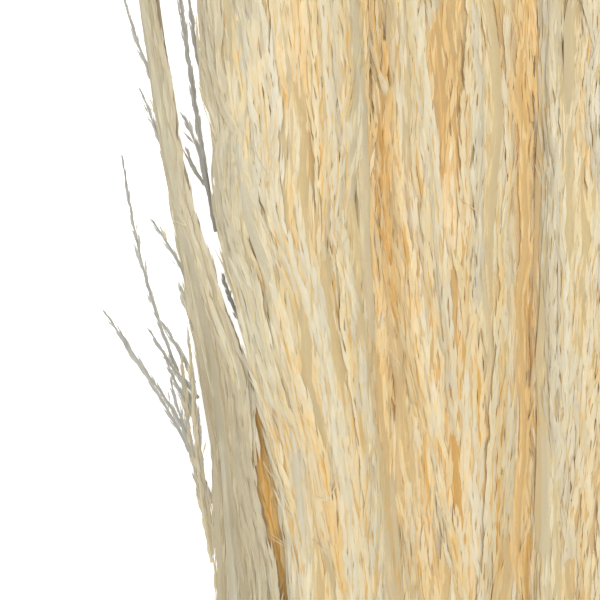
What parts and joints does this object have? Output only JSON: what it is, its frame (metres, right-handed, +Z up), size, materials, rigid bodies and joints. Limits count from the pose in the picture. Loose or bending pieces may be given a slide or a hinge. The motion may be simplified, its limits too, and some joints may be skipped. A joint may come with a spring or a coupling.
{
  "type": "bundle of pampas grass",
  "caption": "Bundle of dried pampas grass lying on its side: thin cut stems bound by a wound twine, fanning out into long feathery plumes pressed together.",
  "frame": {"origin": "on the table that the bundle lies on, under the middle of its bounding box", "axes": "+Y along the bundle from the cut ends to the plume tips, +Z up from the table, +X across the bundle"},
  "size_m": [0.2142, 0.7358, 0.0892],
  "materials": {
    "culm": "smooth dry straw with a slight shine",
    "plume": "dry, feathery and silky",
    "twine": "rough twisted plant fibre"
  },
  "bodies": {
    "root": {"stem_01": "culm", "plume_01": "plume", "stem_02": "culm", "plume_02": "plume", "stem_03": "culm", "plume_03": "plume", "stem_04": "culm", "plume_04": "plume", "stem_05": "culm", "plume_05": "plume", "stem_06": "culm", "plume_06": "plume", "stem_07": "culm", "plume_07": "plume", "stem_08": "culm", "plume_08": "plume", "stem_09": "culm", "plume_09": "plume", "stem_10": "culm", "plume_10": "plume", "stem_11": "culm", "plume_11": "plume", "stem_12": "culm", "plume_12": "plume", "stem_13": "culm", "plume_13": "plume", "twine_tie": "twine"}
  },
  "joints": []
}
